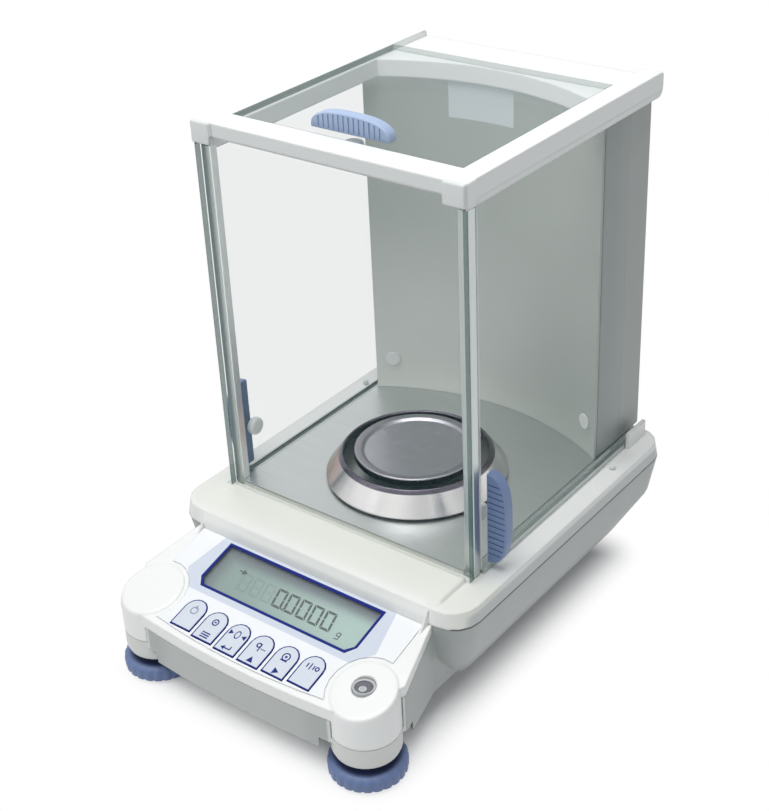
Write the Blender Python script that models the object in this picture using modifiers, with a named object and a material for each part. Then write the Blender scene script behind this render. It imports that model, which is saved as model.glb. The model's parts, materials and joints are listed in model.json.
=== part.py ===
# Semi-micro balance with a glass draught shield, built from separate named parts.
# Lengths are in metres, +Z is up, the control panel faces -Y.
# Depths are measured from the front of the weighing chamber; the root empty centres the whole.

import math

import bmesh
import bpy
from mathutils import Matrix, Vector

# case
base_half_width = 0.1085
ledge_width = 0.0165
frame_half_width = base_half_width - ledge_width
base_front = -0.031
base_rear = 0.204
base_top = 0.075
base_corner = 0.0145
base_taper = 0.0200
seam_height = 0.065
strip_draft = 0.0013
case_underside = 0.0120
case_belly = 0.0400
belly_inset = 0.0040
wall = 0.0025
clearance = 0.0003
overrun = 0.005
weld_distance = 0.00001
hole_steps = 16

# platform and apron in front of the chamber
platform_inset = 0.0055
platform_half_width = frame_half_width - platform_inset
platform_height = 0.0025
apron_fillet = 0.012
crown_shares = (0.0, 0.35, 0.65, 0.87, 1.0)
apron_lean_share = 0.28

# control module
module_rear_inset = 0.0040
module_front_inset = 0.0100
module_rear_half = frame_half_width - module_rear_inset
module_front_half = base_half_width - module_front_inset
module_shoulder_depth = -0.070
module_front = -0.1045
module_bow = 0.0040
module_underside = 0.0165
module_edge = 0.0022
panel_front_height = 0.0453
panel_slope = 0.267
module_seam_front = 0.0345
module_seam_rear = 0.0600

# corner towers and feet
tower_inset = 0.0285
tower_x = base_half_width - tower_inset
tower_y = -0.0830
tower_radius = 0.0200
tower_proud = 0.0015
tower_edge = 0.0035
tower_seam = 0.0270
notch_radius = 0.0262
notch_top = 0.0230
wheel_radius = 0.0232
wheel_top = 0.0130
wheel_floor = 0.0060
wheel_lip = 0.0018
wheel_under = 0.0
ground = -0.0030
stud_radius = 0.0040
stud_top = 0.0200
tower_cavity_floor = 0.0235
pad_radius = 0.0150
rear_foot_inset = 0.0425
rear_foot_x = base_half_width - rear_foot_inset
rear_foot_y = 0.158
rear_foot_radius = 0.0110

# overlay, keys and display
overlay_thickness = 0.0005
overlay_reach = 0.0035
overlay_half_width = tower_x + overlay_reach
overlay_rear = -0.0330
overlay_front = -0.1010
overlay_bow = 0.0038
overlay_tower_gap = 0.0022
key_width = 0.0155
key_margin = 0.0075
key_count = 6
key_pitch = 2 * (tower_x - tower_radius - key_margin - key_width / 2) / (key_count - 1)
key_length = 0.0208
key_centre = -0.0880
key_bow = 0.0022
key_proud = 0.0004
key_depth = 0.0042
window_inset = 0.0212
window_half_width = tower_x - window_inset
window_corner = 0.0043
window_lower_half_width = window_half_width - window_corner
window_rear = -0.0354
window_front = -0.0676
window_chamfer = 0.0056
window_thickness = 0.0010
window_depth = 0.0008
display_thickness = 0.0030
display_margin = 0.0030
board_thickness = 0.0016
board_drop = 0.0072
board_inset = 0.0100
board_half_width = tower_x - board_inset
board_front = -0.0970
boss_radius = 0.0030
boss_inset = 0.0045
boss_x = board_half_width - boss_inset
boss_front = -0.0720
boss_rear = -0.0400

# bubble level
level_offset = 0.0010
level_x = tower_x - level_offset
level_y = tower_y + 3 * level_offset / 2
level_radius = 0.0052
level_bezel = 0.0014
level_depth = 0.0080
lens_thickness = 0.0020

# weighing chamber
chamber_half_width = platform_half_width
wall_centre_y = 0.1720
wall_side_y = 0.1470
wall_sheet = 0.0022
floor_thickness = 0.0008
column_half_width = chamber_half_width
column_shell = 0.0028
frame_top = 0.3164
frame_rail_height = 0.0146
frame_bar_height = 0.0100
frame_front = 0.0030
frame_rear = 0.2060
frame_corner = 0.0060
frame_edge = 0.0016
rail_width = 0.0160
opening_half_width = frame_half_width - rail_width
opening_front = 0.0210
opening_lip = 0.0028
cap_size = 0.0145
cap_depth = 0.0130
cap_height = 0.0131
cap_proud = 0.0010
channel_inset = 0.0134
top_channel_half_width = frame_half_width - channel_inset
glass_front = 0.0020
front_glass_thickness = 0.0040
door_thickness = 0.0035
door_inset = 0.0005
door_outer_x = frame_half_width - door_inset
door_front = 0.0138
door_rear = 0.1700
groove_depth = 0.0040
post_width = 0.0075
post_depth = 0.0066
track_height = 0.0016
track_wall = 0.0012
guard_top = 0.0860
guard_front = 0.1750
guard_thickness = 0.0022

# handles
handle_length = 0.0600
handle_reach = 0.0135
handle_width = 0.0070
handle_y = 0.0220
handle_bottom = 0.0800
grip_curve_share = 0.70
grip_steps = 12
rib_span_share = 0.73
rib_share = 0.40
rib_count = 9
rib_depth = 0.0005
knob_radius = 0.0058
knob_thickness = 0.0050
knob_edge = 0.0018
top_handle_length = 0.0540
top_handle_reach = 0.0112
top_handle_y = 0.0310

# pan, ring and weigh cell
pan_x = 0.0
pan_y = 0.0762
pan_radius = 0.0390
pan_top = 0.0966
pan_sheet = 0.0012
pan_rim = 0.0045
pan_dish = 0.0018
pan_skirt = 0.0050
pan_hub_radius = 0.0085
pan_hub_depth = 0.0080
ring_radius = 0.0574
ring_foot = 0.0020
ring_shoulder_radius = 0.0505
ring_shoulder = 0.0900
ring_lip_radius = 0.0470
ring_top = 0.0946
ring_inner_radius = 0.0456
ring_sheet = 0.0012
spindle_radius = 0.0050
spindle_cone = 0.0060
spindle_hole = 0.0095
cell_half_width = 0.0240
cell_front = 0.0520
cell_rear = 0.1250
cell_top = 0.0560
flexure_shares = (0.3, 0.7)
chassis_margin = 0.0060
chassis_front = 0.0150
chassis_rear = 0.1700
chassis_thickness = 0.0030
coil_radius = 0.0200
coil_height = 0.0300
coil_y = 0.1470

# rear electronics
main_board_inset = 0.0266
main_board_half_width = column_half_width - main_board_inset
main_board_bottom = 0.1000
main_board_top = 0.2200
main_board_post = 0.0040
main_board_margin = 0.0250
port_flange = 0.0016
jack_radius = 0.0055
jack_bore = 0.0031
jack_inset = 0.0366
jack_x = jack_inset - column_half_width
port_half_width = 0.0155
port_half_height = 0.0062
port_inset = 0.0516
port_x = column_half_width - port_inset
port_z = 0.1050
port_proud = 0.0014

# small fixings
peg_radius = 0.0019
peg_height = 0.0036
peg_inset = 0.0100
peg_x = base_half_width - peg_inset
peg_y = 0.1490
button_radius = 0.0050
button_proud = 0.0012
button_inset = 0.0105
button_x = chamber_half_width - button_inset
button_z = 0.1010
screw_inset = 0.0465
screw_x = base_half_width - screw_inset
screw_front = 0.0100
screw_rear = 0.1200
screw_head = 0.0034
screw_shank = 0.0017
screw_length = 0.0090

corner_steps = 4
round_steps = 36
bow_steps = 8


def clear_scene():
    for item in list(bpy.data.objects):
        bpy.data.objects.remove(item, do_unlink=True)


clear_scene()
parts = bpy.data.collections.new("semi_micro_balance")
cutters = bpy.data.collections.new("cutters")
bpy.context.scene.collection.children.link(parts)
bpy.context.scene.collection.children.link(cutters)


def material(name, colour, roughness, metallic=0.0):
    made = bpy.data.materials.new(name)
    made.use_nodes = True
    shader = made.node_tree.nodes["Principled BSDF"]
    shader.inputs["Base Color"].default_value = (*colour, 1.0)
    shader.inputs["Roughness"].default_value = roughness
    shader.inputs["Metallic"].default_value = metallic
    made.diffuse_color = (*colour, 1.0)
    return made


cover_white = material("cover_white", (0.86, 0.86, 0.82), 0.42)
case_grey = material("case_grey", (0.62, 0.64, 0.62), 0.46)
frame_white = material("frame_white", (0.82, 0.83, 0.81), 0.40)
column_grey = material("column_grey", (0.55, 0.58, 0.55), 0.48)
wall_grey = material("wall_grey", (0.60, 0.64, 0.58), 0.45)
clear_glass = material("clear_glass", (0.80, 0.90, 0.87), 0.03)
grip_blue = material("grip_blue", (0.16, 0.23, 0.45), 0.50)
knob_white = material("knob_white", (0.85, 0.86, 0.85), 0.40)
post_metal = material("post_metal", (0.70, 0.72, 0.72), 0.30, 1.0)
floor_steel = material("floor_steel", (0.50, 0.51, 0.52), 0.35, 1.0)
ring_steel = material("ring_steel", (0.62, 0.61, 0.60), 0.16, 1.0)
pan_steel = material("pan_steel", (0.42, 0.42, 0.45), 0.28, 1.0)
foot_blue = material("foot_blue", (0.13, 0.19, 0.40), 0.50)
foot_rubber = material("foot_rubber", (0.05, 0.05, 0.06), 0.80)
overlay_film = material("overlay_film", (0.84, 0.87, 0.91), 0.35)
key_film = material("key_film", (0.78, 0.84, 0.92), 0.40)
window_clear = material("window_clear", (0.70, 0.78, 0.72), 0.08)
display_glass = material("display_glass", (0.42, 0.52, 0.46), 0.25)
board_green = material("board_green", (0.05, 0.25, 0.12), 0.50)
level_glass = material("level_glass", (0.55, 0.58, 0.56), 0.06)
bezel_grey = material("bezel_grey", (0.45, 0.46, 0.46), 0.40)
cast_metal = material("cast_metal", (0.55, 0.56, 0.57), 0.45, 1.0)
magnet_metal = material("magnet_metal", (0.35, 0.36, 0.38), 0.35, 1.0)
jack_black = material("jack_black", (0.03, 0.03, 0.03), 0.50)
port_metal = material("port_metal", (0.60, 0.61, 0.62), 0.30, 1.0)
screw_metal = material("screw_metal", (0.62, 0.62, 0.60), 0.30, 1.0)

middle_depth = (frame_rear + tower_y - wheel_radius) / 2
root = bpy.data.objects.new("root", None)
root.location = (0.0, -middle_depth, -ground)
parts.objects.link(root)


def adopt(item, finish=None):
    """Put an object among the parts, or among the cutters when it has no finish."""
    for home in list(item.users_collection):
        home.objects.unlink(item)
    if finish is None:
        cutters.objects.link(item)
        item.hide_render = True
        item.display_type = "WIRE"
    else:
        parts.objects.link(item)
        item.data.materials.clear()
        item.data.materials.append(finish)
    item.parent = root
    return item


def block(name, low, high, finish=None):
    """A box between two corners, from a cube primitive with its scale applied."""
    bpy.ops.mesh.primitive_cube_add(size=1.0)
    item = bpy.context.object
    item.name = item.data.name = name
    low, high = Vector(low), Vector(high)
    size = high - low
    item.data.transform(Matrix.Diagonal((*size, 1.0)))
    item.location = (low + high) / 2
    return adopt(item, finish)


def rod(name, centre, radius, low, high, finish=None, sides=round_steps):
    """An upright cylinder with its origin on its own axis."""
    bpy.ops.mesh.primitive_cylinder_add(radius=radius, depth=high - low, vertices=sides)
    item = bpy.context.object
    item.name = item.data.name = name
    item.location = (centre[0], centre[1], (low + high) / 2)
    return adopt(item, finish)


def turned(name, profile, centre, finish=None, steps=round_steps, ring=False):
    """A turned piece: a half profile, from top to bottom, swept by a Screw modifier."""
    mesh = bpy.data.meshes.new(name)
    edges = [(i, i + 1) for i in range(len(profile) - 1)]
    if ring:
        edges.append((len(profile) - 1, 0))
    mesh.from_pydata([(r, 0.0, z) for r, z in profile], edges, [])
    item = bpy.data.objects.new(name, mesh)
    screw = item.modifiers.new("sweep", "SCREW")
    screw.axis = "Z"
    screw.steps = screw.render_steps = steps
    screw.use_merge_vertices = True
    screw.merge_threshold = weld_distance
    item.location = (centre[0], centre[1], 0.0)
    return adopt(item, finish)


def arc(centre, radius, start, end, steps):
    """Points on an arc between two angles in degrees."""
    turns = [math.radians(start + (end - start) * i / steps) for i in range(steps + 1)]
    return [(centre[0] + radius * math.cos(t), centre[1] + radius * math.sin(t)) for t in turns]


def circle(centre, radius, steps=hole_steps):
    """Points of a whole circle."""
    return arc(centre, radius, 0, 360, steps)[:-1]


def plate(name, outline, low, high, finish=None, plane="XY"):
    """A flat outline given thickness as a filled 2D curve, then made a mesh."""
    curve = bpy.data.curves.new(name, "CURVE")
    curve.dimensions = "2D"
    curve.fill_mode = "BOTH"
    curve.extrude = (high - low) / 2
    spline = curve.splines.new("POLY")
    spline.points.add(len(outline) - 1)
    for point, (u, v) in zip(spline.points, outline):
        point.co = (u, v, 0.0, 1.0)
    spline.use_cyclic_u = True
    drawn = bpy.data.objects.new(name + "_curve", curve)
    bpy.context.scene.collection.objects.link(drawn)
    mesh = bpy.data.meshes.new_from_object(drawn.evaluated_get(bpy.context.evaluated_depsgraph_get()))
    bpy.data.objects.remove(drawn)
    weld(mesh)
    mesh.transform(Matrix.Translation((0.0, 0.0, (low + high) / 2)))
    if plane == "YZ":
        mesh.transform(Matrix(((0, 0, 1, 0), (1, 0, 0, 0), (0, 1, 0, 0), (0, 0, 0, 1))))
    if plane == "XZ":
        mesh.transform(Matrix(((1, 0, 0, 0), (0, 0, -1, 0), (0, 1, 0, 0), (0, 0, 0, 1))))
    item = bpy.data.objects.new(name, mesh)
    mesh.name = name
    return adopt(item, finish)


def weld(mesh):
    """Join the doubled points of a mesh and turn its faces outward."""
    shape = bmesh.new()
    shape.from_mesh(mesh)
    bmesh.ops.remove_doubles(shape, verts=shape.verts, dist=weld_distance)
    bmesh.ops.recalc_face_normals(shape, faces=shape.faces)
    shape.to_mesh(mesh)
    shape.free()


def loft(name, levels, corner, finish=None):
    """A rounded rectangle drawn up through levels of (height, half width, front, rear)."""
    height, half, front, rear = levels[0]
    corners = ((half, rear, 0), (-half, rear, 90), (-half, front, 180), (half, front, 270))
    outline = []
    for x, y, turn in corners:
        inner = (math.copysign(abs(x) - corner, x), y + (corner if y == front else -corner))
        outline += arc(inner, corner, turn, turn + 90, corner_steps)
    shape = bmesh.new()
    face = shape.faces.new([shape.verts.new((x, y, height)) for x, y in outline])
    bmesh.ops.reverse_faces(shape, faces=[face])
    top = face
    for new_height, new_half, new_front, new_rear in levels[1:]:
        grown = bmesh.ops.extrude_face_region(shape, geom=[top], use_keep_orig=True)
        ring = [v for v in grown["geom"] if isinstance(v, bmesh.types.BMVert)]
        scale_x, scale_y = new_half / half, (new_rear - new_front) / (rear - front)
        for vert in ring:
            vert.co.x *= scale_x
            vert.co.y = new_front + (vert.co.y - front) * scale_y
            vert.co.z = new_height
        top = [f for f in grown["geom"] if isinstance(f, bmesh.types.BMFace)][0]
        half, front, rear = new_half, new_front, new_rear
    inner_faces = [f for f in shape.faces if f not in (face, top) and len(f.verts) > 4]
    bmesh.ops.delete(shape, geom=inner_faces, context="FACES")
    bmesh.ops.recalc_face_normals(shape, faces=shape.faces)
    mesh = bpy.data.meshes.new(name)
    shape.to_mesh(mesh)
    shape.free()
    return adopt(bpy.data.objects.new(name, mesh), finish)


def boolean(item, other, operation):
    change = item.modifiers.new(other.name, "BOOLEAN")
    change.object = other
    change.operation = operation
    change.solver = "EXACT"
    return item


def cut(item, *others):
    for other in others:
        boolean(item, other, "DIFFERENCE")
    return item


def join(item, *others):
    for other in others:
        boolean(item, other, "UNION")
    return item


def soften(item, width, steps=2, angle=40):
    bevel = item.modifiers.new("edge", "BEVEL")
    bevel.width = width
    bevel.segments = steps
    bevel.limit_method = "ANGLE"
    bevel.angle_limit = math.radians(angle)
    bevel.use_clamp_overlap = True
    return item


def settled(item, name, finish=None):
    """The finished mesh of a shape with modifiers, as a new object."""
    bpy.context.view_layer.update()
    mesh = bpy.data.meshes.new_from_object(item.evaluated_get(bpy.context.evaluated_depsgraph_get()))
    mesh.transform(Matrix.Translation(item.location))
    copy = bpy.data.objects.new(name, mesh)
    return adopt(copy, finish)


def panel_height(depth):
    return panel_front_height + (depth - module_front) * panel_slope


panel_turn = math.atan(panel_slope)
panel_up = Vector((0.0, -math.sin(panel_turn), math.cos(panel_turn)))


def on_panel(item, lift=0.0):
    """Lay a flat piece drawn in plan on the panel's slope, at its own depth."""
    shear = Matrix.Identity(4)
    shear[2][1] = panel_slope
    shear[2][3] = panel_front_height - module_front * panel_slope + lift
    item.data.transform(shear)
    return item


def tilt_top(item, height, lift):
    """Slope the upper ring of a straight piece to the panel's plane."""
    for vert in item.data.vertices:
        if vert.co.z + item.location.z > height:
            place = panel_height(vert.co.y + item.location.y) + lift
            vert.co.z = place - item.location.z


def bowed_front(half, front, bow):
    """Points of a gently bowed front edge, from left to right."""
    points = []
    for i in range(bow_steps + 1):
        x = half * (2 * i / bow_steps - 1)
        points.append((x, front + bow * (x / half) ** 2))
    return points


def base_body(name, inset):
    """The tapered body under the weighing chamber."""
    half, front, rear = base_half_width - inset, base_front + inset, base_rear - inset
    belly = belly_inset
    levels = (
        (case_underside + inset, half - base_taper, front + base_taper, rear - base_taper),
        (case_belly, half - belly, front + belly, rear - belly),
        (seam_height, half, front, rear),
        (base_top - inset, half - strip_draft, front + strip_draft, rear - strip_draft),
    )
    return loft(name + "_base", levels, base_corner)


def module_body(name, inset):
    """The control module, its top sloped to the panel and its front edge bowed."""
    rear_half, shoulder_half = module_rear_half - inset, module_front_half - inset
    outline = [(rear_half, 0.0), (-rear_half, 0.0), (-rear_half, base_front)]
    outline.append((-shoulder_half, module_shoulder_depth))
    outline += bowed_front(tower_x - inset, module_front + inset, module_bow)
    outline += [(shoulder_half, module_shoulder_depth), (rear_half, base_front)]
    module = plate(name + "_module", outline, module_underside + inset, panel_front_height)
    tilt_top(module, module_seam_front, -inset)
    return module


def tower_body(name, inset, side, low):
    """The round corner tower over a front foot."""
    centre = (side * tower_x, tower_y)
    tower = rod(name + "_tower", centre, tower_radius - inset, low, panel_front_height)
    tilt_top(tower, tower_seam, tower_proud - inset)
    return tower


def outer_shape():
    """The whole outside of the case in one piece."""
    body = base_body("outer", 0.0)
    join(body, soften(module_body("outer", 0.0), module_edge, 2, 50))
    for side in (-1, 1):
        join(body, soften(tower_body("outer", 0.0, side, case_underside), tower_edge, 2, 50))
    join(body, platform(), apron())
    return settled(body, "outer_body")


def cavity_shape():
    """The inside of the case, one wall thickness in from the outside."""
    body = base_body("inner", wall)
    join(body, module_body("inner", wall))
    for side in (-1, 1):
        join(body, tower_body("inner", wall, side, tower_cavity_floor))
    return settled(body, "cavity_body")


def platform():
    """The raised tray under the chamber floor, with the apron's crown in front."""
    drop = glass_front - wall - base_front
    levels = []
    for share in crown_shares:
        rise = math.sqrt(1 - (1 - share) ** 2)
        reach = platform_half_width + wall * (1 - share)
        levels.append((base_top - clearance + platform_height * rise, reach,
                       base_front + strip_draft + drop * share * share, base_rear - base_corner))
    return loft("platform", levels, base_corner / 2)


def apron():
    """The hollow curve that runs from the apron down to the panel."""
    start = (base_front + overrun, base_top - clearance)
    outline = [start, (start[0], panel_height(base_front) - wall)]
    foot = base_front - apron_fillet
    outline.append((foot, panel_height(foot) - wall))
    for i in range(bow_steps + 1):
        share = i / bow_steps
        y = foot + (base_front + strip_draft - foot) * share
        low = panel_height(foot) - clearance
        rise = apron_lean_share * share + (1 - apron_lean_share) * share ** 3
        outline.append((y, low + (base_top - clearance - low) * rise))
    return plate("apron_curve", outline, -module_rear_half + wall, module_rear_half - wall, plane="YZ")


def seam_region(drop):
    """Everything above the joint line of the case, lowered by drop."""
    front, rear = module_front - 2 * overrun, base_rear + overrun
    top = frame_top / 2
    outline = [
        (front, module_seam_front - drop), (base_front + drop, module_seam_rear - drop),
        (base_front + drop, seam_height - drop), (rear, seam_height - drop), (rear, top), (front, top),
    ]
    half = base_half_width + overrun
    region = plate("seam_region", outline, -half, half, plane="YZ")
    for side in (-1, 1):
        centre = (side * tower_x, tower_y)
        region = join(region, rod("seam_tower", centre, tower_radius + clearance + drop, tower_seam - drop, top))
    return region


def window_outline(grow):
    half, lower = window_half_width + grow, window_lower_half_width + grow
    rear, front = window_rear + grow, window_front - grow
    side = window_front + window_chamfer
    return [(half, rear), (-half, rear), (-half, side), (-lower, front), (lower, front), (half, side)]


def key_outline(index, grow):
    """A tombstone outline, round at the rear, in plan."""
    x, y = key_place(index)
    half = key_width / 2 + grow
    round_centre = y + key_length / 2 - key_width / 2
    points = arc((x, round_centre), half, 0, 180, 2 * corner_steps)
    return points + [(x - half, y - key_length / 2 - grow), (x + half, y - key_length / 2 - grow)]


def key_place(index):
    edge = key_pitch * (key_count - 1) / 2
    x = key_pitch * index - edge
    return x, key_centre + key_bow * ((x / edge) ** 2 - 1 / 2)


def overlay_outline(grow):
    half = overlay_half_width + grow
    rear, front = overlay_rear + grow, overlay_front - grow
    ring = tower_radius + overlay_tower_gap - grow
    left = [(half, rear), (-half, rear)]
    side_y = tower_y + math.sqrt(ring ** 2 - (half - tower_x) ** 2)
    start = math.degrees(math.atan2(side_y - tower_y, tower_x - half))
    end = -math.degrees(math.asin((tower_y - front - overlay_bow) / ring))
    left += arc((-tower_x, tower_y), ring, start, end, 2 * corner_steps)
    inner = tower_x - ring * math.cos(math.radians(end))
    for i in range(1, bow_steps):
        x = inner * (2 * i / bow_steps - 1)
        left.append((x, front + overlay_bow * (x / inner) ** 2))
    right = arc((tower_x, tower_y), ring, 180 - end, 180 - start, 2 * corner_steps)
    return left + right


def board_top(depth):
    return panel_height(depth) - board_drop


def ordered(side, inner, outer):
    """Low and high x of a strip between two distances from the middle, on one side."""
    return min(side * inner, side * outer), max(side * inner, side * outer)


def pivot(item, point):
    """Move an object's origin to a point without moving its shape."""
    item.data.transform(Matrix.Translation(item.location - Vector(point)))
    item.location = point
    return item


def cut_panel_openings(cover):
    """The recess for the overlay, the display window and the key holes."""
    deep = -3 * overrun
    cut(cover, on_panel(plate("recess", overlay_outline(clearance), -overlay_thickness, overrun)))
    cut(cover, on_panel(plate("window_hole", window_outline(clearance), deep, overrun)))
    for index in range(key_count):
        cut(cover, on_panel(plate("key_hole", key_outline(index, clearance), deep, overrun)))


def add_level_cup(cover):
    """The cup under the right tower's top that holds the bubble level."""
    centre = (level_x, level_y)
    floor = panel_height(level_y) + tower_proud - level_depth
    radius = level_radius + level_bezel + clearance
    join(cover, rod("level_cup", centre, radius + wall / 2, floor - wall, panel_height(level_y) - wall / 2))
    cut(cover, rod("level_pocket", centre, radius, floor - clearance, panel_height(level_y) + overrun))


def add_board_bosses(cover):
    """Four posts the display board is screwed to."""
    for side in (-1, 1):
        for depth in (boss_front, boss_rear):
            low = board_top(depth + boss_radius) + clearance
            high = panel_height(depth) - wall / 2
            join(cover, rod("board_boss", (side * boss_x, depth), boss_radius, low, high, sides=hole_steps))


def cut_glazing_seats(cover):
    """Seats in the raised platform for the front glass, the posts and the door tracks."""
    low, high = base_top - clearance, base_top + overrun
    half = frame_half_width
    glass_rear = glass_front + front_glass_thickness + clearance
    cut(cover, block("glass_seat", (-half, glass_front - clearance, low), (half, glass_rear, high)))
    for side in (-1, 1):
        left, right = ordered(side, post_inner - clearance, half + wall)
        cut(cover, block("post_seat", (left, glass_front, low), (right, post_rear + clearance, high)))
        left, right = ordered(side, track_inner - clearance, half + wall)
        cut(cover, block("track_seat", (left, glass_front, low), (right, base_rear - base_corner / 2, high)))


def add_guards(cover):
    """Low walls beside the column that hide the rear ends of the side doors."""
    inner, rear = door_outer_x + track_wall + 2 * clearance, base_rear - base_corner / 2
    for side in (-1, 1):
        left, right = ordered(side, inner, inner + guard_thickness)
        join(cover, block("guard", (left, guard_front, base_top - wall), (right, rear, guard_top)))


def make_upper_cover(outer, cavity):
    cover = settled(outer, "upper_cover", cover_white)
    boolean(cover, settled(seam_region(0.0), "seam_above"), "INTERSECT")
    cut(cover, cavity)
    cut_panel_openings(cover)
    cut(cover, rod("spindle_bore", (pan_x, pan_y), spindle_hole, seam_height, base_top + overrun, sides=hole_steps))
    add_level_cup(cover)
    add_board_bosses(cover)
    cut_glazing_seats(cover)
    add_guards(cover)


def cut_foot_seat(case, side):
    """The ring notch a front foot turns in, and the bore for its stud."""
    centre = (side * tower_x, tower_y)
    notch = rod("notch", centre, notch_radius, -overrun, notch_top)
    cut(notch, rod("notch_core", centre, tower_radius, -2 * overrun, notch_top + overrun))
    cut(case, settled(notch, "foot_notch"))
    cut(case, rod("stud_bore", centre, stud_radius + clearance, -overrun, stud_top + overrun, sides=hole_steps))


def cut_screw_seats(case, side):
    """Countersunk holes for the two case screws of one side."""
    for depth in (screw_front, screw_rear):
        place = (side * screw_x, depth)
        seat = case_underside + wall / 2
        cut(case, rod("head_hole", place, screw_head + clearance, -overrun, seat, sides=hole_steps))
        cut(case, rod("shank_hole", place, screw_shank + clearance, -overrun, seat + overrun, sides=hole_steps))


def make_lower_case(outer, cavity):
    case = settled(outer, "lower_case", case_grey)
    cut(case, settled(seam_region(clearance), "seam_below"), cavity)
    for side in (-1, 1):
        cut_foot_seat(case, side)
        cut_screw_seats(case, side)


def make_overlay():
    film = plate("keypad_overlay", overlay_outline(0.0), 0.0, overlay_thickness, overlay_film)
    on_panel(film, clearance - overlay_thickness)
    cut(film, on_panel(plate("film_window", window_outline(-wall / 2), -overrun, overrun)))
    for index in range(key_count):
        cut(film, on_panel(plate("film_key", key_outline(index, clearance), -overrun, overrun)))


def make_keys():
    for index in range(key_count):
        key = plate("key_%d" % (index + 1), key_outline(index, 0.0), -key_depth, clearance + key_proud, key_film)
        x, y = key_place(index)
        pivot(on_panel(key), (x, y, panel_height(y)))


def make_lcd_window():
    window = plate("lcd_window", window_outline(0.0), -window_thickness, 0.0, window_clear)
    on_panel(window, -window_depth)


def make_lcd_module():
    half = window_half_width + display_margin
    rear, front = window_rear + display_margin, window_front - display_margin
    outline = [(half, rear), (-half, rear), (-half, front), (half, front)]
    glass = plate("lcd_module", outline, -display_thickness, 0.0, display_glass)
    on_panel(glass, -wall * math.sqrt(1 + panel_slope ** 2) - clearance)


def make_display_board():
    rear, middle = boss_rear + boss_radius, boss_front - boss_radius
    front_half = tower_x - tower_radius - wall
    right = [(front_half, board_front), (board_half_width, middle), (board_half_width, rear)]
    outline = right + [(-x, y) for x, y in right[::-1]]
    on_panel(plate("display_board", outline, -board_thickness, 0.0, board_green), -board_drop)


def make_level():
    centre = (level_x, level_y)
    top = panel_height(level_y) + tower_proud
    floor = top - level_depth
    outer = level_radius + level_bezel
    seat = floor + lens_thickness
    profile = [(0.0, seat), (level_radius, seat), (level_radius, top - clearance), (outer, top), (outer, floor),
               (0.0, floor)]
    turned("level_bezel", profile, centre, bezel_grey, 24)
    rod("level_vial", centre, level_radius - clearance, seat + clearance, top - 2 * clearance, level_glass, 24)


def make_front_feet():
    rim, lip = wheel_radius, wheel_lip
    profile = [
        (0.0, stud_top), (stud_radius, stud_top), (stud_radius, wheel_floor), (rim - 2 * lip, wheel_floor),
        (rim - lip, wheel_top - lip / 2), (rim - lip / 2, wheel_top), (rim, wheel_top - lip / 2),
        (rim, wheel_under + lip / 2), (rim - lip, wheel_under), (0.0, wheel_under),
    ]
    for side, name in ((-1, "left"), (1, "right")):
        centre = (side * tower_x, tower_y)
        turned("foot_wheel_" + name, profile, centre, foot_blue)
        rod("foot_pad_" + name, centre, pad_radius, ground, wheel_under - clearance, foot_rubber, 32)


def make_rear_feet():
    for side, name in ((-1, "left"), (1, "right")):
        centre = (side * rear_foot_x, rear_foot_y)
        high = case_underside - clearance
        foot = rod("rear_foot_" + name, centre, rear_foot_radius, ground, high, foot_rubber, 24)
        soften(foot, wheel_lip / 2, 1)


def rear_arc_centre():
    """Depth of the centre and radius of the arc the chamber's rear wall follows."""
    sag = wall_centre_y - wall_side_y
    radius = (chamber_half_width ** 2 + sag ** 2) / (2 * sag)
    return wall_centre_y - radius, radius


def arc_points(radius, half):
    """The chamber's rear arc at a radius, from the right side to the left."""
    centre, _ = rear_arc_centre()
    spread = math.degrees(math.asin(half / radius))
    return arc((0.0, centre), radius, 90 - spread, 90 + spread, 2 * bow_steps)


def make_floor():
    _, radius = rear_arc_centre()
    low = base_top + platform_height
    half, front = track_inner - clearance, glass_front + front_glass_thickness + clearance
    outline = [(-half, front), (half, front)] + arc_points(radius - clearance, half)
    floor = plate("floor_plate", outline, low, low + floor_thickness, floor_steel)
    for side in (-1, 1):
        left, right = ordered(side, post_inner - clearance, half + overrun)
        cut(floor, block("floor_notch", (left, 0.0, low - overrun), (right, post_rear + clearance, low + overrun)))
    cut(floor, rod("floor_bore", (pan_x, pan_y), spindle_hole, low - overrun, low + overrun, sides=hole_steps))


def make_rear_wall():
    _, radius = rear_arc_centre()
    half = chamber_half_width - clearance
    outline = arc_points(radius, half) + arc_points(radius + wall_sheet, half)[::-1]
    low = base_top + platform_height + clearance
    plate("chamber_rear_wall", outline, low, frame_top - frame_rail_height - clearance, wall_grey)


def make_wall_buttons():
    centre, radius = rear_arc_centre()
    reach = radius - clearance - button_proud / 2
    lean = math.asin(button_x / radius)
    for side, name in ((-1, "left"), (1, "right")):
        button = rod("wall_button_" + name, (0.0, 0.0), button_radius, 0.0, button_proud, knob_white, 24)
        button.rotation_euler = (math.radians(90), 0.0, -side * lean)
        button.location = (side * reach * math.sin(lean), centre + reach * math.cos(lean), button_z)


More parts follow.
